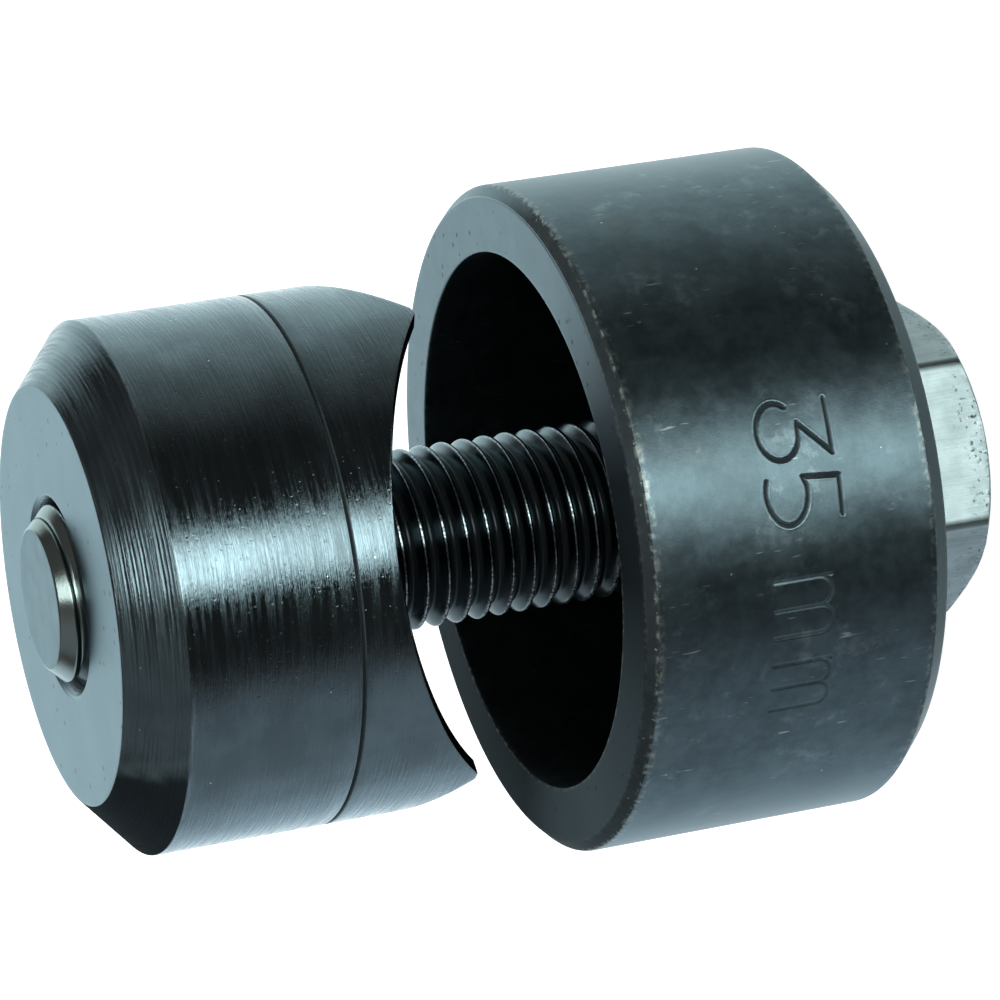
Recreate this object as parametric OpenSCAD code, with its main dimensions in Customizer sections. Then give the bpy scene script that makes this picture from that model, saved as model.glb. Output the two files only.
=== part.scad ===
// Knockout punch for sheet metal: a crown-edged punch, a cup die and the bolt that draws them together.
// Everything is turned about the Z axis. The part stands on the bolt's head, with the origin at the
// centre of the head's end face, in the open position with the punch clear of the die.

/* [Cut] */
// Diameter of the hole that the punch cuts
hole_d = 35; // [28:0.5:50]
// Gap between the punch and the die's bore, on the radius
shear_gap = 0.5; // [0.1:0.05:0.8]
// Gap between the die's face and the cutting points in the open position
open_gap = 8.3; // [1:0.1:20]

/* [Punch] */
// Length from the end face to the cutting points
punch_length = 23.5; // [20:0.1:40]
// Width of the end chamfer, on the radius
end_chamfer_w = 3.75; // [0.5:0.05:5]
// Height of the end chamfer along the axis
end_chamfer_h = 3.25; // [0.5:0.05:5]
// Number of cutting points around the rim
point_count = 3; // [3:1:6]
// Depth of the valleys between the points
valley_depth = 6.1; // [2:0.1:8]
// Width of the small flat that ends each point
point_flat = 0.8; // [0.2:0.1:2]
// Thickness of the cutting rim at the points
rim_land = 1; // [0.6:0.1:2]
// Thickness of the cutting rim at the recess floor
rim_root = 2.5; // [2:0.1:4]
// Depth of the recess behind the points
recess_depth = 8.5; // [8.2:0.1:11]
// Distance of the scribed line behind the points
mark_setback = 8.85; // [8.2:0.05:12]
// Width of the scribed line
mark_w = 0.3; // [0.2:0.05:0.6]
// Depth of the scribed line
mark_depth = 0.15; // [0.05:0.05:0.3]
// Width of the countersink at the threaded hole, on the radius
countersink_w = 0.6; // [0.2:0.1:1.5]

/* [Die] */
// Thickness of the wall around the die's bore
die_wall = 4.4; // [3:0.1:8]
// Height of the die
die_height = 21.4; // [18:0.1:30]
// Thickness of the die's base
base_thickness = 6; // [4:0.1:8]
// Chamfer on the outer edge of the cutting face
face_chamfer = 0.75; // [0.2:0.05:1.5]
// Chamfer on the outer edge of the die's back
back_chamfer = 1.5; // [0.2:0.05:2.5]
// Gap around the bolt in the die's base, on the radius
base_hole_gap = 0.3; // [0.1:0.05:0.8]
// Chamfer at the mouth of the hole in the base
base_hole_chamfer = 0.5; // [0.1:0.1:1]

/* [Draw bolt] */
// Outside diameter of the bolt's thread
bolt_d = 12; // [8:0.5:14]
// Gap between the thread and the punch's hole, on the radius
thread_gap = 0.05; // [0.02:0.01:0.1]
// Distance between the turns of the thread
thread_pitch = 1.5; // [1.25:0.25:2]
// Depth of the thread, on the radius
thread_depth = 0.8; // [0.4:0.05:0.9]
// Width of the flat that tops each turn
thread_crest_w = 0.3; // [0.2:0.05:0.4]
// Length of plain shank between the head and the thread
plain_length = 9; // [8:0.5:11]
// Length of bolt that stands out of the punch's end face
stick_out = 1.3; // [0:0.1:8]
// Chamfer on the bolt's end
bolt_end_chamfer = 1.4; // [0.5:0.1:2]
// Width of the hex head across its flats
head_af = 19; // [17:0.5:24]
// Height of the hex head
head_height = 9; // [6:0.1:12]
// Width of the ring around the head's end face that the chamfer takes, on the radius
head_chamfer_w = 0.5; // [0.2:0.1:1]
// Slope of the head's chamfer from its end face
head_chamfer_deg = 30; // [15:1:45]
// Turn of the hex head from a flat that faces the front
head_turn = 7; // [0:1:59]

/* [Hidden] */
$fn = 96;
// Overshoot that lets a cut pass cleanly through a face
cut = 1;

// Heights along the axis
die_z = head_height;
base_top_z = die_z + base_thickness;
face_z = die_z + die_height;
points_z = face_z + open_gap;
punch_top_z = points_z + punch_length;
bolt_top_z = punch_top_z + stick_out;
thread_z = head_height + plain_length;
recess_floor_z = points_z + recess_depth;
mark_z = points_z + mark_setback;

// Radii
punch_r = hole_d / 2;
die_bore_r = punch_r + shear_gap;
die_r = die_bore_r + die_wall;
bolt_r = bolt_d / 2;
thread_hole_r = bolt_r + thread_gap;
base_hole_r = bolt_r + base_hole_gap;
head_corner_r = head_af / 2 / cos(30);
head_face_r = head_af / 2 - head_chamfer_w;

// Each valley of the rim is one cone with its tip on the axis, level with the points. The cone meets the
// punch's wall at the valley's depth in the middle, and at the level of the points at both ends.
valley_half_turn = 180 / point_count - point_flat / 2 / punch_r * 180 / PI;
valley_drop_deg = atan(valley_depth / punch_r);
cone_lift_deg = atan((cos(valley_drop_deg) - cos(valley_half_turn)) / sin(valley_drop_deg));
cone_half_deg = cone_lift_deg + valley_drop_deg;
cone_length = 2 * punch_r;

// The thread is drawn as one groove to each turn, with flanks at 60 degrees to each other
thread_turns = floor((bolt_top_z - bolt_end_chamfer - thread_crest_w - thread_z) / thread_pitch);
flank_w = thread_depth * tan(30);
groove_w = thread_pitch - thread_crest_w;

// Solid of revolution from [radius, height] corners
module turned(corners) {
  rotate_extrude() polygon(corners);
}

// Cone that cuts one valley into the rim, at the front
module valley_cut() {
  translate([0, 0, points_z])
    rotate([0, 0, -90])
      rotate([0, 90 + cone_lift_deg, 0])
        cylinder(h = cone_length, r1 = 0, r2 = cone_length * tan(cone_half_deg));
}

// Turned blank of the punch, before the valleys are cut
module punch_blank() {
  turned([
    [punch_r - rim_land, points_z],
    [punch_r, points_z],
    [punch_r, mark_z - mark_w / 2],
    [punch_r - mark_depth, mark_z],
    [punch_r, mark_z + mark_w / 2],
    [punch_r, punch_top_z - end_chamfer_h],
    [punch_r - end_chamfer_w, punch_top_z],
    [thread_hole_r + countersink_w, punch_top_z],
    [thread_hole_r, punch_top_z - countersink_w],
    [thread_hole_r, recess_floor_z],
    [punch_r - rim_root, recess_floor_z]
  ]);
}

// Punch blank with this many of its valleys cut, one after another
module crowned(valleys) {
  if (valleys == 0)
    punch_blank();
  else
    difference() {
      crowned(valleys - 1);
      rotate([0, 0, valleys * 360 / point_count]) valley_cut();
    }
}

// Male cutter with its crown of points
module punch() {
  color("#3c4547") crowned(point_count);
}

// Cup that the punch is drawn into
module die() {
  color("#4a5356")
    turned([
      [base_hole_r + base_hole_chamfer, die_z],
      [die_r - back_chamfer, die_z],
      [die_r, die_z + back_chamfer],
      [die_r, face_z - face_chamfer],
      [die_r - face_chamfer, face_z],
      [die_bore_r, face_z],
      [die_bore_r, base_top_z],
      [base_hole_r, base_top_z],
      [base_hole_r, die_z + base_hole_chamfer]
    ]);
}

// Hex head with its end chamfered all round
module hex_head() {
  intersection() {
    rotate([0, 0, head_turn]) cylinder(h = head_height, r = head_corner_r, $fn = 6);
    turned([
      [0, 0],
      [head_face_r, 0],
      [head_corner_r + cut, (head_corner_r + cut - head_face_r) * tan(head_chamfer_deg)],
      [head_corner_r + cut, head_height],
      [0, head_height]
    ]);
  }
}

// Corners of the groove that starts at this height
function groove(z) = [
  [bolt_r, z],
  [bolt_r - thread_depth, z + flank_w],
  [bolt_r - thread_depth, z + groove_w - flank_w],
  [bolt_r, z + groove_w]
];

// Shank with a plain length under its head, then the thread's grooves up to its chamfered end
module shank() {
  turned(concat(
    [[0, head_height - cut], [bolt_r, head_height - cut]],
    [for (turn = [0 : thread_turns - 1]) each groove(thread_z + turn * thread_pitch)],
    [[bolt_r, bolt_top_z - bolt_end_chamfer], [bolt_r - bolt_end_chamfer, bolt_top_z], [0, bolt_top_z]]
  ));
}

// Bolt that draws the punch into the die
module draw_bolt() {
  color("#2e3436")
    union() {
      hex_head();
      shank();
    }
}

punch();
die();
draw_bolt();
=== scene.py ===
# %% [markdown]
# # Knockout punch, dressed on its CAD frame
# A knockout punch cuts a round hole in sheet steel: a bolt draws a crown-edged punch into a cup-shaped die.
# The CAD model gives the sizes, the bodies and the joints. This file gives it its looks: blunted edges, a
# real thread, a stamped size mark, and dark oxide steel that shows how it was turned, handled and rubbed.
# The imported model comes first, so that each piece below is built where the CAD says, in metres.

# %% Frame
import math

import bmesh
import bpy
import numpy as np
from mathutils import Matrix, Vector


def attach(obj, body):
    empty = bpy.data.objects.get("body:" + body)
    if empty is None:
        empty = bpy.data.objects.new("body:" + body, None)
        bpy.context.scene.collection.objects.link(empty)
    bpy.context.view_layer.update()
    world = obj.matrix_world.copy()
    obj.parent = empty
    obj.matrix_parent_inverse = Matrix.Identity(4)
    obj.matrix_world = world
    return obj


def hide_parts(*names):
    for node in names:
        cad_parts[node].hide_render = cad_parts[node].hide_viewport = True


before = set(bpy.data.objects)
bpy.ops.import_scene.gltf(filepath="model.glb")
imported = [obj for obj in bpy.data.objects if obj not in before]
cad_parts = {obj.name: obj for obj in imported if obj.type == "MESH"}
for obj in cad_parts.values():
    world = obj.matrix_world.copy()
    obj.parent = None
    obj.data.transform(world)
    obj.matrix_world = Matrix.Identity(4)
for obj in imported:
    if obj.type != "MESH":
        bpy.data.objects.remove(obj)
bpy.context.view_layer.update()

# %% [markdown]
# ## Camera
# The photograph was taken with a long lens from in front of the part, with the part lying on its side, so
# the camera here is rolled by about a right angle. Its place was solved from the round edges in the
# photograph. A tracked empty could aim it, but a roll is easier to read when the three axes are worked out
# in plain maths.

# %% Camera
CAMERA_SIDE = math.radians(-85.5)
CAMERA_RISE = math.radians(19.13)
CAMERA_ROLL = math.radians(-99.247)
CAMERA_AIM = Vector((0.001552, 0.000122, 0.031488))
CAMERA_DISTANCE = 0.33188
LENS_MM = 180
SENSOR_MM = 36

flat_out = Vector((math.cos(CAMERA_SIDE), math.sin(CAMERA_SIDE), 0))
to_camera = flat_out * math.cos(CAMERA_RISE) + Vector((0, 0, math.sin(CAMERA_RISE)))
level_right = Vector((0, 0, 1)).cross(to_camera).normalized()
level_up = to_camera.cross(level_right)
camera_right = level_right * math.cos(CAMERA_ROLL) + level_up * math.sin(CAMERA_ROLL)
camera_up = to_camera.cross(camera_right)

camera_data = bpy.data.cameras.new("photo_camera")
camera_data.lens = LENS_MM
camera_data.sensor_width = SENSOR_MM
camera_data.clip_start = 0.01
camera = bpy.data.objects.new("photo_camera", camera_data)
bpy.context.collection.objects.link(camera)
axes = Matrix((camera_right, camera_up, to_camera)).transposed().to_4x4()
camera.matrix_world = Matrix.Translation(CAMERA_AIM + to_camera * CAMERA_DISTANCE) @ axes
bpy.context.scene.camera = camera
bpy.context.scene.view_settings.view_transform = "Standard"
print("camera at", [round(c, 4) for c in camera.matrix_world.translation])

# %% [markdown]
# ## A mesh from rings
# All three pieces are turned on a lathe, so each is a stack of rings. Blender's Screw modifier could spin
# one outline, but the punch's rim rises and falls round its turn, the die carries a mark and the bolt a
# helix. A grid of points lets each ring have its own shape. Two numbers are kept for each point, for the
# finishes later: how worn it is, which is 1 on the edges that get rubbed bright, and how much dirt and
# painted shade it holds, which is 1 in a groove. Corners are rounded a little, because a knife-sharp edge
# never catches the light.

# %% Ring meshes
MM = 0.001
SAME_POINT = 1e-7
BLUNT_STEPS = 5


class Rings:
    """A stack of rings in millimetres, which becomes one mesh."""

    def __init__(self, angles):
        self.angles = angles
        self.points = []
        self.wear = []
        self.dirt = []

    def add(self, radius, height, wear=0.0, dirt=0.0):
        """One ring; each value is a number or one number per angle."""
        ones = np.ones_like(self.angles)
        x = radius * np.cos(self.angles)
        y = radius * np.sin(self.angles)
        self.points.append(np.stack([x, y, height * ones], axis=-1))
        self.wear.append(wear * ones)
        self.dirt.append(dirt * ones)

    def blunt(self, before, corner, after, reach, wear=0.0, dirt=0.0):
        """Rings round a corner of the outline, starting and ending at reach from it."""
        before, corner, after = (np.array(point, float) for point in (before, corner, after))
        start = corner + (before - corner) / np.linalg.norm(before - corner) * reach
        end = corner + (after - corner) / np.linalg.norm(after - corner) * reach
        for step in np.linspace(0, 1, BLUNT_STEPS):
            point = (1 - step) ** 2 * start + 2 * step * (1 - step) * corner + step ** 2 * end
            self.add(point[0], point[1], wear, dirt)

    def mesh(self, name, closed):
        """Joins the rings with quads; closed joins the last ring to the first."""
        rows, columns = len(self.points), len(self.angles)
        row = np.arange(rows if closed else rows - 1)[:, None]
        column = np.arange(columns)[None, :]
        beside = (column + 1) % columns
        this_row = row * columns
        next_row = (row + 1) % rows * columns
        corners = (this_row + column, this_row + beside, next_row + beside, next_row + column)
        quads = np.stack(corners, axis=-1).reshape(-1, 4)
        mesh = bpy.data.meshes.new(name)
        points = np.concatenate(self.points) * MM
        mesh.from_pydata(points.tolist(), [], quads.tolist())
        for key, values in (("wear", self.wear), ("dirt", self.dirt)):
            layer = mesh.attributes.new(key, "FLOAT", "POINT")
            layer.data.foreach_set("value", np.concatenate(values).astype(np.float32))
        shape = bmesh.new()
        shape.from_mesh(mesh)
        bmesh.ops.remove_doubles(shape, verts=shape.verts, dist=SAME_POINT)
        shape.to_mesh(mesh)
        shape.free()
        mesh.shade_smooth()
        piece = bpy.data.objects.new(name, mesh)
        bpy.context.collection.objects.link(piece)
        print(name, len(mesh.polygons), "faces")
        return piece


print("ring meshes ready")

# %% [markdown]
# ## Punch: the crown
# The cutting rim has three points and three wide valleys, each ground as part of a cone whose tip lies on
# the axis, so every line across the thin rim runs straight towards the axis. A boolean cut with three cones
# would also do it, but it leaves slivers where the points are flat. The height of a cone has a closed
# formula, so the rim's ring is simply lifted by it, and the mesh stays clean right up to the edge. The cone
# follows from the valley's depth and from the small flat that ends each point.

# %% Punch crown
PUNCH_R = 17.5
POINTS_Z = 38.7
VALLEYS = np.radians([-90, 30, 150])
VALLEY_DEPTH = 6.1
POINT_FLAT = 0.8
RIM_INNER_R = 16.5
FLOOR_R = 15.0
FLOOR_Z = 47.2
PUNCH_COLUMNS = 540

half_turn = math.pi / len(VALLEYS) - POINT_FLAT / 2 / PUNCH_R
drop = math.atan(VALLEY_DEPTH / PUNCH_R)
cone_lift = math.atan((math.cos(drop) - math.cos(half_turn)) / math.sin(drop))
cone_half = cone_lift + drop
punch_angles = np.linspace(0, 2 * math.pi, PUNCH_COLUMNS, endpoint=False)


def rim_rise(angles):
    """How steeply the rim rises above the points, per millimetre of radius."""
    offset = np.min(np.abs((angles[:, None] - VALLEYS + math.pi) % (2 * math.pi) - math.pi), axis=1)
    along = math.cos(cone_lift) * np.cos(offset)
    reach = np.sqrt(along ** 2 + math.sin(cone_lift) ** 2)
    tilt = np.arccos(math.cos(cone_half) / reach) - np.arctan2(math.sin(cone_lift), along)
    return np.tan(np.maximum(tilt, 0))


rise = rim_rise(punch_angles)
taper = (RIM_INNER_R - FLOOR_R) / (FLOOR_Z - POINTS_Z)
inner_r = RIM_INNER_R / (1 + taper * rise)
inner_z = POINTS_Z + inner_r * rise
outer_z = POINTS_Z + PUNCH_R * rise
print("valleys", round(float(outer_z.max() - POINTS_Z), 2), "mm deep")

# %% [markdown]
# ## Punch: rim and wall
# The rings start at the hole's foot, run over the floor of the recess and down inside the rim, cross the
# land that does the cutting, and climb the wall as far as its scribed line and beyond. Two lists give a
# ring's place as a share of its stretch, with its wear, and the third gives the offsets, depths and dirt of
# the scribed line. Loop cuts in edit mode would place rings too, but a list can be changed.

# %% Punch rim and wall
HOLE_R = 6.05
SCRIBE_Z = 47.55
SCRIBE_REACH = 0.17
BEVEL_Z = 58.95
EDGE = 0.05
RECESS = [(0, 0), (0.03, 0), (0.2, 0), (0.4, 0), (0.6, 0), (0.8, 0), (0.93, 0), (0.985, 0.5), (1, 1)]
LAND = [(0.06, 0.6), (0.2, 0), (0.6, 0), (0.88, 0), (0.95, 0.7)]
SCRIBE = [(-SCRIBE_REACH, 0, 0), (-0.15, 0.01, 0.5), (-0.06, 0.12, 1),
          (0, 0.15, 1), (0.06, 0.12, 1), (0.15, 0.01, 0.5)]

punch_rings = Rings(punch_angles)
for radius in (HOLE_R, HOLE_R + 0.3, FLOOR_R - 0.3):
    punch_rings.add(radius, FLOOR_Z)
for share, wear in RECESS:
    punch_rings.add(FLOOR_R + (inner_r - FLOOR_R) * share, FLOOR_Z + (inner_z - FLOOR_Z) * share, wear)
for share, wear in LAND:
    radius = inner_r + (PUNCH_R - inner_r) * share
    punch_rings.add(radius, POINTS_Z + radius * rise, wear)
punch_rings.add(PUNCH_R - 0.015, outer_z + 0.012, wear=1)
wall_foot = outer_z + EDGE
punch_rings.add(PUNCH_R, wall_foot, wear=0.8)
for share in (0.04, 0.12, 0.3, 0.5, 0.7, 0.9):
    punch_rings.add(PUNCH_R, wall_foot + (SCRIBE_Z - SCRIBE_REACH - wall_foot) * share)
for offset, depth, dirt in SCRIBE:
    punch_rings.add(PUNCH_R - depth, SCRIBE_Z + offset, dirt=dirt)
for height in np.linspace(SCRIBE_Z + SCRIBE_REACH, BEVEL_Z - 0.4, 8):
    punch_rings.add(PUNCH_R, height)
print("rim and wall of", len(punch_rings.points), "rings")

# %% [markdown]
# ## Punch: bevel and end face
# A broad bevel leads to the end face with the countersunk hole. The bevel was roughly turned, so the tool's
# feed marks are real grooves here, a hundredth of a millimetre deep and unlike each other. A bump alone
# would be cheaper, but it can't break the bevel's reflections up the way that real grooves do.

# %% Punch bevel and end face
END_Z = 62.2
END_R = 13.75
COUNTERSINK = 0.6
HOLE_SHOWN = 2.0
FEED = 0.31
FEED_DEPTH = (0.004, 0.02)
FEED_GROOVES = 20
FEED_SEED = 35
FEED_RINGS = 110

bevel_edge = (PUNCH_R, BEVEL_Z)
end_edge = (END_R, END_Z)
hole_rim = (HOLE_R + COUNTERSINK, END_Z)
hole_edge = (HOLE_R, END_Z - COUNTERSINK)
bevel_run = np.subtract(end_edge, bevel_edge)
bevel_length = np.linalg.norm(bevel_run)
bevel_out = np.array([bevel_run[1], -bevel_run[0]]) / bevel_length
groove_depths = np.random.default_rng(FEED_SEED).uniform(*FEED_DEPTH, FEED_GROOVES)

punch_rings.blunt((PUNCH_R, SCRIBE_Z), bevel_edge, end_edge, reach=0.08, wear=1)
for share in np.linspace(0.04, 0.96, FEED_RINGS):
    groove, along = divmod(share * bevel_length / FEED, 1)
    depth = groove_depths[int(groove)] * 4 * along * (1 - along)
    radius, height = np.array(bevel_edge) + bevel_run * share - bevel_out * depth
    punch_rings.add(radius, height)
punch_rings.blunt(bevel_edge, end_edge, hole_rim, reach=0.1, wear=0.8)
for radius in np.linspace(END_R - 0.4, HOLE_R + COUNTERSINK + 0.3, 8):
    punch_rings.add(radius, END_Z)
punch_rings.blunt(end_edge, hole_rim, hole_edge, reach=0.08, wear=0.7)
# The hole's wall is painted dark as shade, darkest deepest in.
punch_rings.add(HOLE_R, END_Z - COUNTERSINK, dirt=0.6)
punch_rings.add(HOLE_R, END_Z - HOLE_SHOWN, dirt=1)
punch_piece = punch_rings.mesh("punch_body", closed=True)

# %% [markdown]
# ## Die: the size mark
# The die's wall carries the hole size, stamped as thin strokes by hand punches. Text objects would bring a
# font of their own, so the strokes are drawn here as lines and arcs, in millimetres across and up from the
# foot of the second digit. The unit's letters were struck much more lightly than the number.

# %% Size mark strokes
def arc(middle, width, height, start, end, count=14):
    """Points on part of an ellipse, with the angles in degrees."""
    turn = np.radians(np.linspace(start, end, count))
    return np.stack([middle[0] + width * np.cos(turn), middle[1] + height * np.sin(turn)], axis=-1)


def letter_m(left, stems, height):
    """Two arches on three legs."""
    strokes = [np.array([(left, 0), (left, height)])]
    for start, end in zip(stems[:-1], stems[1:]):
        half = (end - start) / 2
        arch = arc((left + start + half, height - half * 0.9), half, half * 0.9, 180, 0)
        strokes.append(np.vstack([arch, [(left + end, 0)]]))
    return strokes


LETTER_HEIGHT = 3.95
three = [
    np.array([(-4.72, 5.05), (-1.2, 4.92)]),
    np.array([(-1.2, 4.92), (-3.42, 2.9)]),
    np.vstack([[(-3.42, 2.9)], arc((-3.0, 1.48), 1.86, 1.4, 72, -215, 22)]),
]
five = [
    np.array([(2.75, 5.02), (0.27, 5.08), (0.05, 2.62)]),
    np.vstack([[(0.05, 2.62)], arc((0.98, 1.42), 2.02, 1.42, 100, -118, 22)]),
]
first_m = letter_m(6.5, (0, 1.97, 3.82), LETTER_HEIGHT)
second_m = letter_m(12.27, (0, 1.76, 3.5), LETTER_HEIGHT)
deep_strokes = three + five
faint_strokes = first_m + second_m
print("size mark of", len(deep_strokes + faint_strokes), "strokes")

# %% [markdown]
# ## Die: columns round the cup
# The columns of the die's grid are close together only where the mark is, because the strokes are a third
# of a millimetre wide. A denser mesh all round would look the same and cost five times as many faces. The
# distance from each wall point to the nearest stroke will press the wall in.

# %% Die columns
DIE_R = 22.4
MARK_SIDE = math.radians(274.5)
MARK_BEFORE = 6.2
MARK_AFTER = 17.6
MARK_STEP = 0.075
PLAIN_COLUMNS = 200
FAR = 99.0

mark_start = MARK_SIDE - MARK_AFTER / DIE_R
mark_end = MARK_SIDE + MARK_BEFORE / DIE_R
mark_columns = np.arange(mark_start, mark_end, MARK_STEP / DIE_R)
plain_columns = np.linspace(mark_end, mark_start + 2 * math.pi, PLAIN_COLUMNS, endpoint=False)
die_angles = np.concatenate([mark_columns, plain_columns])
mark_across = (MARK_SIDE - die_angles) * DIE_R
mark_across[len(mark_columns):] = FAR


def stroke_distance(strokes, across, up):
    """Distance from points on the wall to the nearest stroke, in millimetres."""
    nearest = np.full(len(across), FAR)
    here = np.stack([across, np.full(len(across), up)], axis=-1)
    for stroke in strokes:
        for start, end in zip(stroke[:-1], stroke[1:]):
            run = end - start
            share = np.clip((here - start) @ run / (run @ run), 0, 1)
            gap = np.linalg.norm(here - start - share[:, None] * run, axis=1)
            nearest = np.minimum(nearest, gap)
    return nearest


print("die of", len(die_angles), "columns,", len(mark_columns), "of them at the mark")

# %% [markdown]
# ## Die: back and wall
# The die is a cup with a bevelled rim and a broader bevel at its back. The corners of its section come
# first, and the rings run over them from the hole in its base outwards. At the mark each stroke is a small
# V, with a low lip beside it where the metal was pushed up. A boolean cut would leave the lip out.

# %% Die back and wall
DIE_BACK_Z = 9.0
DIE_FACE_Z = 30.4
BORE_R = 18.0
CUP_FLOOR_Z = 15.0
BOLT_HOLE_R = 6.3
BOLT_HOLE_BEVEL = 0.5
BACK_BEVEL = 1.5
FACE_BEVEL = 0.75
MARK_FOOT_Z = 21.75
MARK_TALL = 5.5
MARK_MARGIN = 0.55
ROW_GAP = 0.1
STROKE_HALF = 0.16
STROKE_DEPTH = 0.14
FAINT = 0.35
LIP = 0.012

base_wall = (BOLT_HOLE_R, (DIE_BACK_Z + CUP_FLOOR_Z) / 2)
base_edge = (BOLT_HOLE_R, DIE_BACK_Z + BOLT_HOLE_BEVEL)
base_rim = (BOLT_HOLE_R + BOLT_HOLE_BEVEL, DIE_BACK_Z)
back_rim = (DIE_R - BACK_BEVEL, DIE_BACK_Z)
back_edge = (DIE_R, DIE_BACK_Z + BACK_BEVEL)
face_edge = (DIE_R, DIE_FACE_Z - FACE_BEVEL)
face_rim = (DIE_R - FACE_BEVEL, DIE_FACE_Z)

die_rings = Rings(die_angles)
die_rings.blunt(base_wall, base_edge, base_rim, reach=0.05)
die_rings.add(base_rim[0] + 0.05, DIE_BACK_Z)
die_rings.add(back_rim[0] - 0.6, DIE_BACK_Z)
die_rings.blunt(base_rim, back_rim, back_edge, reach=0.1, wear=0.8)
die_rings.add(back_rim[0] + 0.3, DIE_BACK_Z + 0.3)
die_rings.add(DIE_R - 0.3, back_edge[1] - 0.3)
die_rings.blunt(back_rim, back_edge, face_edge, reach=0.12, wear=1)
for height in np.linspace(back_edge[1] + 0.45, MARK_FOOT_Z - MARK_TALL - ROW_GAP, 6):
    die_rings.add(DIE_R, height)
for height in np.arange(MARK_FOOT_Z - MARK_TALL, MARK_FOOT_Z + MARK_MARGIN, MARK_STEP):
    pressed, lip = 0, 0
    for strokes, force in ((deep_strokes, 1), (faint_strokes, FAINT)):
        gap = stroke_distance(strokes, mark_across, MARK_FOOT_Z - height)
        pressed = pressed + force * np.clip(1 - gap / STROKE_HALF, 0, 1) ** 0.8
        lip = lip + force * np.clip(1 - np.abs(gap - STROKE_HALF * 1.35) / (STROKE_HALF * 0.5), 0, 1)
    die_rings.add(DIE_R - STROKE_DEPTH * pressed + LIP * lip, height, 0.25 * lip, pressed)
print("back and wall of", len(die_rings.points), "rings")

# %% [markdown]
# ## Die: face and bore
# Above the mark the wall ends in a narrow bevel, then come the flat face that carries the sheet, the edge
# that shears it, the straight bore and the cup's floor. A bevel modifier would blunt all edges alike, but
# here the shearing edge stays nearly sharp.

# %% Die face and bore
bore_rim = (BORE_R, DIE_FACE_Z)
cup_corner = (BORE_R, CUP_FLOOR_Z)
floor_rim = (BOLT_HOLE_R, CUP_FLOOR_Z)

for height in np.linspace(MARK_FOOT_Z + MARK_MARGIN + ROW_GAP, face_edge[1] - 0.45, 7):
    die_rings.add(DIE_R, height)
die_rings.blunt(back_edge, face_edge, face_rim, reach=0.13, wear=1)
die_rings.add(DIE_R - 0.25, face_edge[1] + 0.25)
die_rings.add(face_rim[0] + 0.2, DIE_FACE_Z - 0.2)
die_rings.blunt(face_edge, face_rim, bore_rim, reach=0.08, wear=0.15)
for radius in np.linspace(face_rim[0] - 0.3, BORE_R + 0.3, 5):
    die_rings.add(radius, DIE_FACE_Z)
die_rings.blunt(face_rim, bore_rim, cup_corner, reach=0.07, wear=0.7)
for height in np.linspace(DIE_FACE_Z - 0.4, CUP_FLOOR_Z + 0.6, 6):
    die_rings.add(BORE_R, height)
# The corner at the foot of the bore is painted dark as shade.
die_rings.blunt(bore_rim, cup_corner, floor_rim, reach=0.4, dirt=0.6)
die_rings.add(BOLT_HOLE_R + 0.4, CUP_FLOOR_Z)
die_rings.blunt(cup_corner, floor_rim, base_wall, reach=0.06, wear=0.4)
die_piece = die_rings.mesh("die_cup", closed=True)

# %% [markdown]
# ## Draw bolt: the thread
# The bolt has a right-hand thread of 12 mm with a pitch of 1.5 mm. A Screw modifier on a tooth outline
# would give the helix too, but its ends need trimming. Here the shank is one grid whose radius is read from
# the helix at each height and angle. The flanks are straight, and the narrow crests and roots are a little
# blunt, which is what draws the thin bright lines along them. The first turn runs out into the plain length
# under the head, and the bevel cuts the last turns off. The rings are closest where the thread shows
# between the die and the punch.

# %% Draw bolt thread
BOLT_R = 6.0
CREST_R = 5.98
PITCH = 1.5
THREAD_DEPTH = 0.8
CREST_SHARE = 0.14
FLANK_SHARE = 0.72
BLUNT_SHARE = 0.06
CREST_AT = 0.52
TIP_Z = 63.5
TIP_BEVEL = 1.4
TIP_R = BOLT_R - TIP_BEVEL
HEAD_TOP_Z = 9.0
THREAD_Z = 18.0
SHOWN_Z = (29.0, 47.0)
COARSE_STEP = 0.1
FINE_STEP = 0.05
THREAD_COLUMNS = 96

thread_angles = np.linspace(0, 2 * math.pi, THREAD_COLUMNS, endpoint=False)
bolt_rings = Rings(thread_angles)


def thread_ring(height):
    """The radius all round at one height, how near each point is to a crest, and how deep it lies."""
    turns = (height - CREST_AT) / PITCH - thread_angles / (2 * math.pi)
    from_crest = 2 * np.abs(turns - np.round(turns))
    grown = np.clip((height - THREAD_Z) / PITCH, 0, 1)
    valley = 0
    for shift in (-BLUNT_SHARE, 0, BLUNT_SHARE):
        flank = np.clip((from_crest - CREST_SHARE + shift) / FLANK_SHARE, 0, 1)
        valley = valley + flank * grown / 3
    crest = np.clip(1 - 5 * valley, 0, 1) * grown
    bevel_r = BOLT_R - max(height - (TIP_Z - TIP_BEVEL), 0)
    return np.minimum(CREST_R - THREAD_DEPTH * valley, bevel_r), crest, valley


plain = np.linspace(HEAD_TOP_Z - 0.05, THREAD_Z, 8)
in_die = np.arange(THREAD_Z + COARSE_STEP, SHOWN_Z[0], COARSE_STEP)
shown = np.arange(*SHOWN_Z, FINE_STEP)
in_punch = np.arange(SHOWN_Z[1], TIP_Z - FINE_STEP, COARSE_STEP)
# How deep each point lies below the crest is kept for the finish, which paints the roots and lower flanks
# dark as shade.
for height in np.concatenate([plain, in_die, shown, in_punch]):
    radius, crest, valley = thread_ring(height)
    bolt_rings.add(radius, height, crest, valley)
bolt_rings.blunt((BOLT_R, TIP_Z - TIP_BEVEL), (TIP_R, TIP_Z), (0, TIP_Z), reach=0.12, wear=0.8)
for radius in (TIP_R - 0.4, 3, 1.5, 0):
    bolt_rings.add(radius, TIP_Z)
thread_piece = bolt_rings.mesh("bolt_thread", closed=False)
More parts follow.
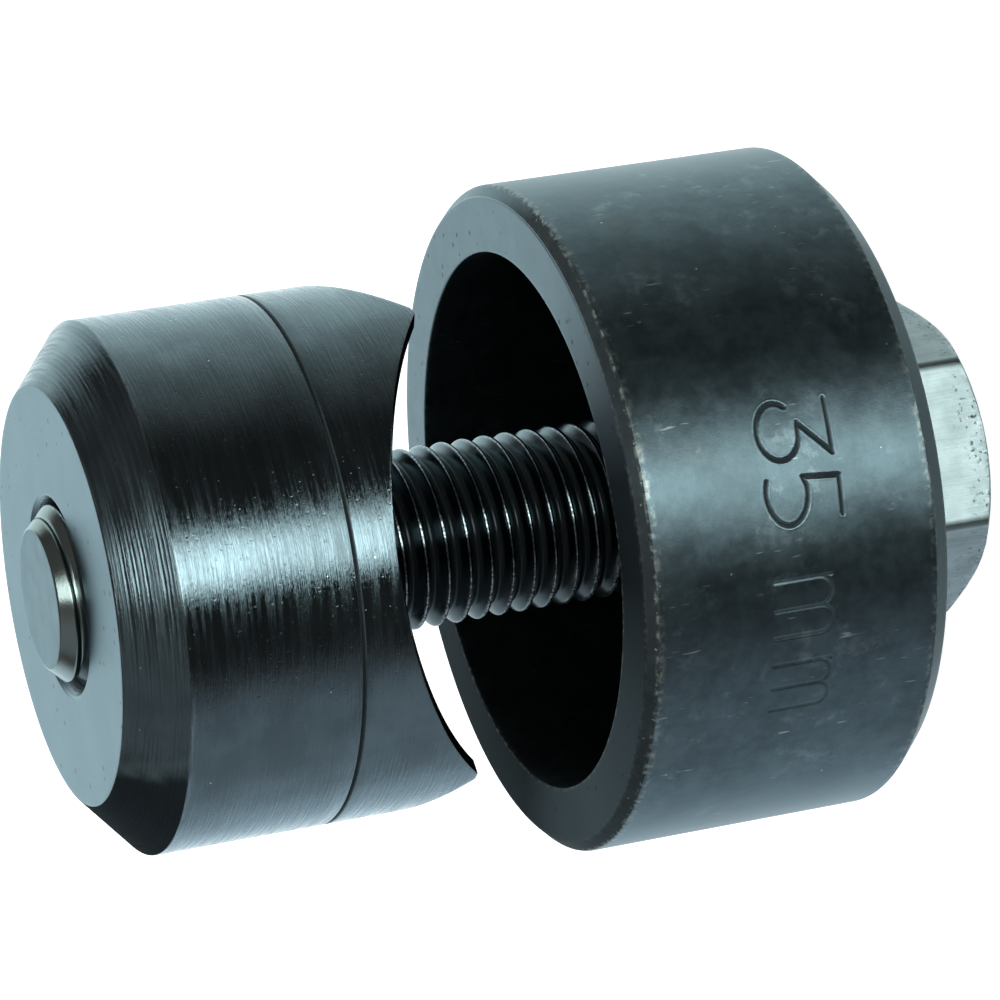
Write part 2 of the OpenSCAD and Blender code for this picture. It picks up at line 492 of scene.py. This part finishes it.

# %% [markdown]
# ## Draw bolt: outline of the head
# The hex head has slightly rounded corners. A cylinder of six sides with a bevel modifier would give them
# too, but the outline is also needed as numbers for the arches on the flats. It holds an arc at each corner
# and a few points on each flat, and marks the corners, which are painted darker.

# %% Draw bolt head outline
HEAD_FLAT = 9.5
HEAD_TURN = math.radians(7)
CORNER_ROUND = 0.5
SIXTH = math.radians(60)
FLAT_SHARES = (0.02, 0.08, 0.25, 0.4, 0.5, 0.6, 0.75, 0.92, 0.98)


def from_axis(angle, length):
    """The point at this angle and distance from the axis."""
    return np.array([math.cos(angle), math.sin(angle)]) * length


hub = (HEAD_FLAT - CORNER_ROUND) / math.cos(SIXTH / 2)
outline = []
dark_corners = []
for corner in HEAD_TURN + SIXTH * np.arange(6):
    for swing in np.linspace(-SIXTH / 2, SIXTH / 2, 9):
        outline.append(from_axis(corner, hub) + from_axis(corner + swing, CORNER_ROUND))
        dark_corners.append(1.0)
    flat_start = outline[-1]
    flat_end = from_axis(corner + SIXTH, hub) + from_axis(corner + SIXTH / 2, CORNER_ROUND)
    for share in FLAT_SHARES:
        outline.append(flat_start + (flat_end - flat_start) * share)
        dark_corners.append(0.0)
outline = np.array(outline)
dark_corners = np.array(dark_corners)
print("head outline of", len(outline), "points")

# %% [markdown]
# ## Draw bolt: the head
# The head's end is turned to a low cone, which cuts the curved arches on the six flats. A bevel modifier
# can't make those arches. Each column of the grid knows its own distance from the axis, so the cone's
# height there gives the arch directly.

# %% Draw bolt head
HEAD_FACE_R = 9.0
CONE_SLOPE = math.tan(math.radians(30))

hex_r = np.linalg.norm(outline, axis=1)
arch_z = (hex_r - HEAD_FACE_R) * CONE_SLOPE
head_rings = Rings(np.arctan2(outline[:, 1], outline[:, 0]))
for radius in (0, 3, 6, HEAD_FACE_R - 0.4):
    head_rings.add(radius, 0)
head_rings.add(HEAD_FACE_R - 0.06, 0.0, wear=0.6)
head_rings.add(HEAD_FACE_R + 0.06, 0.05, wear=0.6)
for share, wear in ((0.35, 0), (0.75, 0), (0.93, 0.5)):
    head_rings.add(HEAD_FACE_R + (hex_r - HEAD_FACE_R) * share, arch_z * share, wear)
head_rings.add(hex_r - 0.012, arch_z + 0.012, wear=1)
head_rings.add(hex_r, arch_z + 0.06, 0.8 - 0.8 * dark_corners, dark_corners)
for share in (0.06, 0.25, 0.5, 0.75, 0.95):
    head_rings.add(hex_r, arch_z + (HEAD_TOP_Z - 0.2 - arch_z) * share, dirt=dark_corners)
for inset, below, wear in ((0, 0.14, 0.6), (0.04, 0.04, 0.8), (0.14, 0, 0.4)):
    head_rings.add(hex_r - inset, HEAD_TOP_Z - below, wear)
for radius in (7.5, 5.2):
    head_rings.add(radius, HEAD_TOP_Z)
head_piece = head_rings.mesh("bolt_head", closed=False)

# %% [markdown]
# ## Shader maths
# Finishes are node trees, and long trees are hard to read as node calls. This small class wraps one socket,
# so that `1 - mask * 0.4` adds the Math nodes itself. Any other node comes from its `node` method: the
# settings go in first, because they can change which sockets a node has, and then the values or links of
# its sockets.

# %% Signals
class Signal:
    """A value on its way through a shader."""

    def __init__(self, tree, socket=None):
        self.tree = tree
        self.socket = socket

    def node(self, kind, settings=None, sockets=None, out=0):
        """Adds a node and returns one of its outputs, or several if out is a tuple."""
        made = self.tree.nodes.new(kind)
        for key, value in (settings or {}).items():
            if key == "stops":
                self.set_stops(made.color_ramp, value)
            else:
                setattr(made, key, value)
        for key, value in (sockets or {}).items():
            if isinstance(value, Signal):
                self.tree.links.new(value.socket, made.inputs[key])
            else:
                made.inputs[key].default_value = value
        if isinstance(out, tuple):
            return tuple(Signal(self.tree, made.outputs[key]) for key in out)
        return Signal(self.tree, made.outputs[out])

    @staticmethod
    def set_stops(ramp, stops):
        """Gives a ramp its stops, as pairs of place and grey level."""
        while len(ramp.elements) > 1:
            ramp.elements.remove(ramp.elements[-1])
        ramp.elements[0].position = stops[0][0]
        ramp.elements[0].color = (stops[0][1],) * 3 + (1,)
        for place, level in stops[1:]:
            ramp.elements.new(place).color = (level,) * 3 + (1,)

    def math(self, operation, *others):
        """A Math node with this value first."""
        values = dict(enumerate((self, *others)))
        return self.node("ShaderNodeMath", {"operation": operation}, values)

    def __add__(self, other):
        return self.math("ADD", other)

    def __sub__(self, other):
        return self.math("SUBTRACT", other)

    def __rsub__(self, other):
        return self.node("ShaderNodeMath", {"operation": "SUBTRACT"}, {0: other, 1: self})

    def __mul__(self, other):
        return self.math("MULTIPLY", other)

    def __truediv__(self, other):
        return self.math("DIVIDE", other)

    def __gt__(self, other):
        return self.math("GREATER_THAN", other)

    def __lt__(self, other):
        return self.math("LESS_THAN", other)

    __radd__ = __add__
    __rmul__ = __mul__


print("shader maths ready")

# %% [markdown]
# ## Small shader helpers
# Most finishes need the same four things: a soft step, a colour between two colours, a cloudy noise, and a
# level that is read from a ramp. Node groups could hold them, but plain functions stay readable.

# %% Shader helpers
def ease(value, low, high):
    """0 below low, 1 above high, and a smooth step between them."""
    limits = {"Value": value, "From Min": low, "From Max": high}
    return value.node("ShaderNodeMapRange", {"interpolation_type": "SMOOTHSTEP"}, limits)


def tint(share, first, second):
    """A colour between two colours."""
    return share.node("ShaderNodeMix", {"data_type": "RGBA"}, {0: share, 6: first, 7: second}, out=2)


def noise(place, scale, detail=2.0, rough=0.5):
    """Cloudy noise with scale features per metre."""
    sockets = {"Vector": place, "Scale": scale, "Detail": detail, "Roughness": rough}
    return place.node("ShaderNodeTexNoise", None, sockets)


def ramp_level(value, stops):
    """The grey level that a ramp of stops gives for a value."""
    ramp = value.node("ShaderNodeValToRGB", {"stops": stops}, {0: value})
    return ramp.node("ShaderNodeSeparateColor", None, {0: ramp}, "Red")


print("shader helpers ready")

# %% [markdown]
# ## Places on a turned piece
# A lathe leaves lines round the piece, whatever way a face points. A noise in four dimensions gives them on
# walls, bevels and flat ends alike: it changes slowly with x and y, and fast with the height and the
# distance from the axis, so that the lines are a tenth of a millimetre wide and a few millimetres long.
# Lines along the axis come from a noise that is drawn out the other way.

# %% Turned places
def new_steel(name):
    """A material with its shader and the signals that every turned finish starts from."""
    steel = bpy.data.materials.new(name)
    steel.use_nodes = True
    start = Signal(steel.node_tree)
    place = start.node("ShaderNodeTexCoord", out="Object")
    x, y, z = place.node("ShaderNodeSeparateXYZ", None, {0: place}, ("X", "Y", "Z"))
    radius = (x * x + y * y).math("SQRT")
    wear = start.node("ShaderNodeAttribute", {"attribute_name": "wear"}, out="Fac")
    dirt = start.node("ShaderNodeAttribute", {"attribute_name": "dirt"}, out="Fac")
    return steel, place, x, y, z, radius, wear, dirt


def stretched(x, y, z, around, along):
    """A place with this many features per metre around the axis and along it."""
    return x.node("ShaderNodeCombineXYZ", None, {0: x * around, 1: y * around, 2: z * along})


def turning_lines(x, y, z, radius, around, across):
    """Noise in lines round the axis: around and across are features per metre."""
    place = stretched(x, y, z, around, across)
    sockets = {"Vector": place, "W": radius * across, "Scale": 1.0, "Detail": 2.5, "Roughness": 0.6}
    return x.node("ShaderNodeTexNoise", {"noise_dimensions": "4D"}, sockets)


def specks(place, scale, size, rarity):
    """Small round spots: one in some of the cells."""
    sockets = {"Vector": place, "Scale": scale}
    distance, colour = place.node("ShaderNodeTexVoronoi", None, sockets, ("Distance", "Color"))
    chance = colour.node("ShaderNodeSeparateColor", None, {0: colour}, "Red")
    return (1 - ease(distance, size * 0.6, size)) * (chance > rarity)


print("turned places ready")

# %% [markdown]
# ## Steel
# All the finishes are steel under a thin oxide, so they share one way into the shader and a few colours:
# bare metal where it is rubbed, browner metal on worn edges, and a greasy black and a sooty black, which
# also serve as painted shade. Each could have its own shader, but one for all keeps their gloss alike. The
# relief is a bump of about a hundredth of a millimetre.

# %% Steel
MICRON = 1e-6
EDGE_TINT = (0.85, 0.97, 1.0, 1.0)
RUBBED = (0.40, 0.46, 0.47, 1.0)
WORN_EDGE = (0.37, 0.39, 0.33, 1.0)
# The two blacks stand for grime and soot and also for painted shade.
GRIME_AND_SHADE = (0.012, 0.013, 0.013, 1.0)
SOOT_AND_SHADE = (0.006, 0.008, 0.009, 1.0)


def connect(steel, colour, roughness, metal, height, depth):
    """Links a finish to the material's shader; depth is the bump's depth in metres."""
    shader = steel.node_tree.nodes["Principled BSDF"]
    shader.inputs["Specular Tint"].default_value = EDGE_TINT
    shader.inputs["Specular IOR Level"].default_value = 0.0
    relief = height.node("ShaderNodeBump", None, {"Strength": 1.0, "Distance": depth, "Height": height})
    links = steel.node_tree.links
    links.new(colour.socket, shader.inputs["Base Color"])
    links.new(roughness.socket, shader.inputs["Roughness"])
    links.new(metal.socket, shader.inputs["Metallic"])
    links.new(relief.socket, shader.inputs["Normal"])
    print(steel.name, len(steel.node_tree.nodes), "nodes")


# %% [markdown]
# ## Punch finish
# The punch is blackened and oiled. Its wall was finely turned and shows as soft streaks in the light, the
# bevel was turned coarsely and is painted dark at one side as shade, and the end face is rubbed pale by the
# bench. Painting each face with a material of its own would be simple, but the export bakes one finish more
# cleanly, so masks from height and radius choose between them.

# %% Punch colour
PUNCH_OXIDE = ((0.072, 0.098, 0.106, 1), (0.097, 0.133, 0.143, 1))
BENCH_RUBBED = ((0.14, 0.206, 0.243, 1), (0.163, 0.236, 0.278, 1))
BEVEL_SHADE_EDGE = (-0.0102, -0.0082)

punch_steel, place, x, y, z, radius, wear, dirt = new_steel("punch_oxide")
lines = turning_lines(x, y, z, radius, 420, 7500)
cloud = noise(place, 240, 4)
end_face = (z > (END_Z - 0.15) * MM) * (radius < (END_R - 0.03) * MM)
bevel = (z > (BEVEL_Z + 0.02) * MM) * (radius > (END_R - 0.03) * MM)
oxide = tint(ease(lines * 0.2 + cloud * 0.8, 0.36, 0.64), *PUNCH_OXIDE)
scuffs = ease(lines * 0.3 + cloud * 0.7, 0.34, 0.66)
colour = tint(end_face * 0.95, oxide, tint(scuffs, *BENCH_RUBBED))
bright = wear * ease(lines, 0.47, 0.6) * 0.15
bright = bright.math("MAXIMUM", specks(place, 1500, 0.11, 0.93) * 0.8)
colour = tint(bright, colour, RUBBED)
pits = specks(place, 1300, 0.28, 0.87) * end_face
# Pits and the scribed line are darkened as grime, and the hole's wall as painted shade.
colour = tint((pits * 0.7).math("MAXIMUM", dirt * 0.9), colour, GRIME_AND_SHADE)
# The bevel's side towards minus x is painted near black as shade.
bevel_shade = bevel * (1 - ease(x + cloud * 0.003, *BEVEL_SHADE_EDGE)) * 0.97
colour = tint(bevel_shade, colour, SOOT_AND_SHADE)
print("punch colours ready")

# %% [markdown]
# ## Punch gloss
# What the eye takes for the turned wall is mostly its gloss: fine lines tilt the reflection a little, and
# broad bands are duller than others. A brushed look could come from an anisotropic shader, but that socket
# isn't baked.

# %% Punch gloss
bands = turning_lines(x, y, z, radius, 160, 3200)
grain = turning_lines(x, y, z, radius, 2600, 6500)
dents = specks(place, 3700, 0.36, 0.88)
turned = 1 - end_face
streaks = lines * 0.07 + ease(bands, 0.4, 0.6) * 0.15
roughness = 0.035 + streaks * turned + dirt * 0.3 + end_face * 0.265 + bevel * 0.07
line_depth = 4.6 - bevel * 2.4 - end_face * 4.45
height = lines * line_depth + grain * turned * 0.9 - dents * (turned - bevel) * 0.5
metal = 1 - (dirt * 0.7).math("MAXIMUM", bevel_shade)
connect(punch_steel, colour, roughness, metal, height, 11 * MICRON)

# %% [markdown]
# ## Die finish: the wall
# The die has been handled more: its wall is mottled where the oxide is rubbed thin, with faint brown
# stains, pale smears and short bright scratches along the axis. Hand-painted masks would copy one die, so
# clouds of different size make the patches, and a noise drawn out along the axis makes the scratches.

# %% Die wall
DIE_OXIDE = ((0.051, 0.073, 0.08, 1), (0.079, 0.114, 0.124, 1))
SMEAR = (0.16, 0.21, 0.22, 1)
STAIN = (0.075, 0.08, 0.075, 1)

die_steel, place, x, y, z, radius, wear, dirt = new_steel("die_oxide")
cloud = noise(place, 170, 4)
patches = noise(place, 1300, 5, 0.62)
blotches = noise(place, 430, 4, 0.6)
mottle = ease(patches * 0.3 + blotches * 0.5 + cloud * 0.2, 0.36, 0.64)
smears = ease(noise(place, 560, 5, 0.66), 0.53, 0.68) * ease(cloud, 0.46, 0.6)
stain = ease(noise(place, 130, 3), 0.55, 0.72)
scratches = ease(noise(stretched(x, y, z, 4200, 560), 1.0, 1), 0.728, 0.765) * ease(cloud, 0.45, 0.6)
colour = tint(mottle, *DIE_OXIDE)
colour = tint(smears * 0.5, colour, SMEAR)
colour = tint(stain * 0.35, colour, STAIN)
print("die wall ready")

# %% [markdown]
# ## Die finish: face and edges
# The ground face is rubbed pale on one side, with a few dark pits, and still black on the other. A ramp
# over the angle round the axis says where: 0.25 faces the camera, 0.5 is up in the picture and 0.75 faces
# away. The front bevel is painted dark as shade but for its upper side, the back bevel is painted darker as
# shade, the edges are worn brown, and the bore and all inside it are painted dim as shade.

# %% Die face and edges
RUBBED_SIDES = [
    (0.0, 0.16), (0.06, 0.2), (0.14, 0.14), (0.22, 0.02), (0.275, 0.02), (0.31, 0.16), (0.345, 0.5),
    (0.4, 0.88), (0.46, 1.0), (0.72, 1.0), (0.8, 0.1), (0.95, 0.05), (1.0, 0.16)]
FACE_RUBBED = (0.155, 0.21, 0.24, 1)
UNSHADED_SIDE = (0.0198, 0.0218)

face = (z > (DIE_FACE_Z - 0.06) * MM) * (radius > (BORE_R - 0.05) * MM)
inside = radius < (BORE_R + 0.05) * MM
front_bevel = (z > (face_edge[1] + 0.07) * MM) * (radius > (face_rim[0] + 0.03) * MM)
back_bevel = (z < (back_edge[1] - 0.05) * MM) * (radius > back_rim[0] * MM)
side = y.math("ARCTAN2", x) / (2 * math.pi) + 0.5
rubbed = ramp_level(side, RUBBED_SIDES)
# The front bevel is painted dark as shade but for its side towards plus x.
front_bevel_shade = front_bevel * (1 - ease(x, *UNSHADED_SIDE))
colour = tint(front_bevel_shade * 0.82, colour, GRIME_AND_SHADE)
# The back bevel is painted darker as shade.
colour = tint(back_bevel * 0.4, colour, GRIME_AND_SHADE)
colour = tint(face, colour, tint(rubbed, SOOT_AND_SHADE, FACE_RUBBED))
worn = wear * ease(noise(place, 2400, 4), 0.44, 0.66)
colour = tint(worn * 0.34, colour, WORN_EDGE)
bright = (scratches * 0.5).math("MAXIMUM", specks(place, 1100, 0.1, 0.95) * 0.7)
colour = tint(bright * (1 - face), colour, RUBBED)
pits = specks(place, 1500, 0.32, 0.72) * ease(cloud, 0.46, 0.58) * face
# Pits and the stamped strokes are darkened as grime, and the corner at the bore's foot as painted shade.
colour = tint((pits * 0.8).math("MAXIMUM", dirt * 0.92), colour, GRIME_AND_SHADE)
# Everything nearer the axis than the bore's wall is painted half dark as shade.
colour = tint(inside * 0.5, colour, GRIME_AND_SHADE)
print("die colours ready")

# %% [markdown]
# ## Die gloss
# The die is duller than the punch, and soot, old oxide and the front bevel's painted shade hardly mirror
# anything, so they are less of a metal. A fine grit in the relief keeps its highlight broad and a little
# rough.

# %% Die gloss
lines = turning_lines(x, y, z, radius, 300, 6000)
grit = noise(place, 8000, 1)
dull = (1 - rubbed) * face * 0.97 + front_bevel_shade * 0.8
roughness = 0.27 + patches * 0.08 + blotches * 0.1 + dirt * 0.3 - face * 0.05
metal = 1 - (dirt * 0.7).math("MAXIMUM", dull)
height = lines * (0.5 - face * 0.35) + patches * 0.5 + grit * (0.35 - face * 0.2)
connect(die_steel, colour, roughness, metal, height, 12 * MICRON)

# %% [markdown]
# ## Thread finish
# The thread is glossy and black, painted half dark as shade all over but for its upper side, and painted
# darker still as shade on its lower side and between its turns. Only the crests are rubbed bright, in short
# pieces, and the bolt's end is bare. The numbers for crest and groove come with the mesh, so no texture has
# to be lined up with the helix.

# %% Thread finish
THREAD_OXIDE = ((0.07, 0.095, 0.105, 1), (0.13, 0.17, 0.185, 1))
BARE_BEVEL = (0.185, 0.225, 0.21, 1)
BARE_END = (0.18, 0.26, 0.3, 1)
SHADE_BELOW_TOP = (0.002, 0.0045)
UNDERSIDE = (-0.0055, -0.002)

thread_steel, place, x, y, z, radius, wear, dirt = new_steel("thread_black")
cloud = noise(place, 600, 3)
tip = z > (TIP_Z - TIP_BEVEL) * MM
flat_tip = tip * (radius < (TIP_R - 0.05) * MM)
colour = tint(cloud, *THREAD_OXIDE)
colour = tint(tip, colour, BARE_BEVEL)
colour = tint(flat_tip, colour, BARE_END)
# All but the thread's side towards plus x is painted half dark as shade.
shade_below_top = (1 - ease(x, *SHADE_BELOW_TOP)) * (1 - tip)
colour = tint(shade_below_top * 0.5, colour, GRIME_AND_SHADE)
# The roots and lower flanks and the side towards minus x are painted darker still as shade.
underside = 1 - ease(x, *UNDERSIDE)
thread_shade = (ease(dirt, 0.55, 0.95) * 0.8).math("MAXIMUM", underside * 0.75) * (1 - tip)
colour = tint(thread_shade, colour, GRIME_AND_SHADE)
worn = wear * ease(noise(place, 5200, 2), 0.42, 0.58) * (1 - tip)
colour = tint(worn * 0.5, colour, RUBBED)
roughness = 0.12 + cloud * 0.1 + dirt * 0.05 + flat_tip * 0.2
connect(thread_steel, colour, roughness, 1 - thread_shade * 0.5, noise(place, 4000, 2), 5 * MICRON)

# %% [markdown]
# ## Head finish
# The head's flats are brighter steel with fine lines along the axis, left by the drawing of the hex bar,
# and its bevelled end is chipped. The chips could be dents in the mesh, but at a tenth of a millimetre a
# bump is enough.

# %% Head finish
BAR_STEEL = ((0.155, 0.194, 0.192, 1), (0.265, 0.32, 0.318, 1))
CHIPPED_END = (0.0008, 0.003)

head_steel, place, x, y, z, radius, wear, dirt = new_steel("head_bright")
bar_lines = noise(stretched(x, y, z, 7500, 260), 1.0, 3, 0.65)
cloud = noise(place, 500, 4)
near_end = 1 - ease(z, *CHIPPED_END)
chips = ease(noise(place, 3400, 4), 0.58, 0.7) * near_end
colour = tint(ease(bar_lines * 0.5 + cloud * 0.5, 0.3, 0.7), *BAR_STEEL)
# Chips are darkened as grime, and the hex corners are painted darker.
colour = tint((chips * 0.4).math("MAXIMUM", dirt * 0.5), colour, GRIME_AND_SHADE)
colour = tint(specks(place, 2600, 0.2, 0.75) * near_end * 0.6, colour, RUBBED)
colour = tint(wear * ease(noise(place, 2500, 2), 0.45, 0.6) * 0.6, colour, RUBBED)
roughness = 0.35 + bar_lines * 0.14 + chips * 0.2
metal = 1 - (chips * 0.6).math("MAXIMUM", dirt * 0.3)
height = bar_lines * 0.9 + cloud * 0.3 - chips * 0.6
connect(head_steel, colour, roughness, metal, height, 10 * MICRON)

# %% [markdown]
# ## Dressing the frame
# Each piece takes its finish, rides on its CAD body, and stands for the CAD node that it covers. Plain
# parenting would do at rest, but riding keeps a piece on its body in every pose.

# %% Dressing
for piece, steel, body, node, slot in (
    (punch_piece, punch_steel, "punch", "punch", "punch_steel"),
    (die_piece, die_steel, "die", "die", "die_steel"),
    (thread_piece, thread_steel, "draw_bolt", "draw_bolt", "bolt_steel"),
    (head_piece, head_steel, "draw_bolt", "draw_bolt", "bolt_steel"),
):
    piece.data.materials.append(steel)
    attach(piece, body)
    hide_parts(node)
    print(piece.name, "rides on", body)

# %% [markdown]
# ## Studio: directions
# Polished steel shows its surroundings more than itself. In the photograph the round walls mirror a bright
# strip light beside the camera, dark gaps on both sides of it, and pale walls and table further round.
# Panels of light could stand there, but they would show in other views, and a world with these zones
# doesn't. Its zones are told by how far a ray goes ahead, which is towards the camera, aside, which is
# towards the picture's top, and up.

# %% Studio directions
studio = bpy.data.worlds.new("studio")
studio.use_nodes = True
bpy.context.scene.world = studio
start = Signal(studio.node_tree)
way = start.node("ShaderNodeTexCoord", out="Generated")


def share_along(axis):
    """How far a ray of the world goes along an axis, from -1 to 1."""
    return way.node("ShaderNodeVectorMath", {"operation": "DOT_PRODUCT"}, {0: way, 1: axis}, "Value")


ahead = share_along(flat_out)
aside = share_along(Vector((camera_up.x, camera_up.y, 0)).normalized())
up = share_along((0, 0, 1))
turn = aside.math("ARCTAN2", ahead) / (2 * math.pi) + 0.5
print("studio directions ready")

# %% [markdown]
# ## Studio: light
# The pale walls are a ramp over the turn round the part, in degrees from the camera, and they fade towards
# the roof and the ground. To the camera itself the world is plain white, so the studio shows only in the
# steel. The dark gaps are a little warmer than the rest, and the light from the picture's foot is bluer.

# %% Studio light
BRIGHTEST = 2.0
DARK_GAP = 0.075
STRIP_LIGHT = 5.9
STRIP_LOW_LIGHT = 3.3
PALE_WALLS = [
    (-180, 1.25), (-150, 1.2), (-128, 1.05), (-112, 0.8), (-94, 0.71), (-70, 0.63), (-57, 0.46), (-49, 0.19),
    (-41, 0), (58, 0), (74, 0.19), (88, 0.47), (105, 1.0), (120, 1.32), (145, 1.45), (180, 1.3)]
LOW_HUE = (0.93, 1.0, 1.12, 1)
HIGH_HUE = (0.93, 1.0, 1.01, 1)
GAP_HUE = (1.07, 1.0, 1.0, 1)
WHITE = (1, 1, 1, 1)

walls = ramp_level(turn, [(degrees / 360 + 0.5, level / BRIGHTEST) for degrees, level in PALE_WALLS])
roof = 1 - ease(up, 0.3, 0.57)
ground = 0.4 + 0.6 * ease(up, -0.8, -0.5)
ceiling = ease(up, 0.5, 0.75) * (0.07 + 0.24 * (1 - ease(aside, -0.5, -0.15)))
strip = ease(aside, -0.095, -0.02) * (1 - ease(aside, 0.14, 0.38)) * ease(ahead, 0.1, 0.3)
strip_level = STRIP_LIGHT + STRIP_LOW_LIGHT * (1 - ease(up, -0.1, 0.6))
strip_level = strip_level * (0.5 + 0.5 * ease(up, -0.6, -0.2))
level = DARK_GAP + walls * BRIGHTEST * roof * ground + ceiling + strip * strip_level
hue = tint(ease(aside, -0.8, 0.0), LOW_HUE, HIGH_HUE)
hue = tint(ease(level, 0.08, 0.5), GAP_HUE, hue)
seen = start.node("ShaderNodeLightPath", out="Is Camera Ray")
hue = tint(seen, hue, WHITE)
strength = seen + (1 - seen) * level
background = studio.node_tree.nodes["Background"]
studio.node_tree.links.new(hue.socket, background.inputs["Color"])
studio.node_tree.links.new(strength.socket, background.inputs["Strength"])
print("studio world of", len(studio.node_tree.nodes), "nodes")

# %% [markdown]
# ## Floor
# The floor is plain and white to the camera, and keeps a faint contact shadow, because its own soft shading
# is added to the white. A shadow catcher would need compositing. Reflections pass the floor by and show the
# studio's pale table instead.

# %% Floor
FLOOR_HALF = 3.0
FLOOR_WHITE = 0.9
FLOOR_MATT = (0.5, 0.5, 0.5, 1)

corners = [(-FLOOR_HALF, -FLOOR_HALF, 0), (FLOOR_HALF, -FLOOR_HALF, 0),
           (FLOOR_HALF, FLOOR_HALF, 0), (-FLOOR_HALF, FLOOR_HALF, 0)]
floor_mesh = bpy.data.meshes.new("floor")
floor_mesh.from_pydata(corners, [], [(0, 1, 2, 3)])
floor = bpy.data.objects.new("floor", floor_mesh)
bpy.context.collection.objects.link(floor)
floor.visible_glossy = False
paper = bpy.data.materials.new("white_paper")
paper.use_nodes = True
floor_mesh.materials.append(paper)
start = Signal(paper.node_tree)
seen = start.node("ShaderNodeLightPath", out="Is Camera Ray")
white = start.node("ShaderNodeEmission", None, {"Color": WHITE, "Strength": seen * FLOOR_WHITE})
matt = start.node("ShaderNodeBsdfDiffuse", None, {"Color": FLOOR_MATT})
both = start.node("ShaderNodeAddShader", None, {0: white, 1: matt})
paper.node_tree.links.new(both.socket, paper.node_tree.nodes["Material Output"].inputs["Surface"])
print("floor", 2 * FLOOR_HALF, "m wide")

# %% [markdown]
# ## Lamp
# One large soft lamp stands behind and above the part for the contact shadow. The studio world already
# gives the reflections, so the lamp itself isn't mirrored in the steel.

# %% Lamp
LAMP_SIZE = 0.5
LAMP_WATTS = 6
LAMP_AT = (0.35, 0.2, 0.8)
LAMP_AIM = Vector((0, 0, 0.03))

lamp_data = bpy.data.lights.new("softbox", "AREA")
lamp_data.shape = "SQUARE"
lamp_data.size = LAMP_SIZE
lamp_data.energy = LAMP_WATTS
lamp = bpy.data.objects.new("softbox", lamp_data)
bpy.context.collection.objects.link(lamp)
lamp.location = LAMP_AT
lamp.rotation_euler = (LAMP_AIM - lamp.location).to_track_quat("-Z", "Y").to_euler()
lamp.visible_glossy = False
print("lamp at", LAMP_AT)
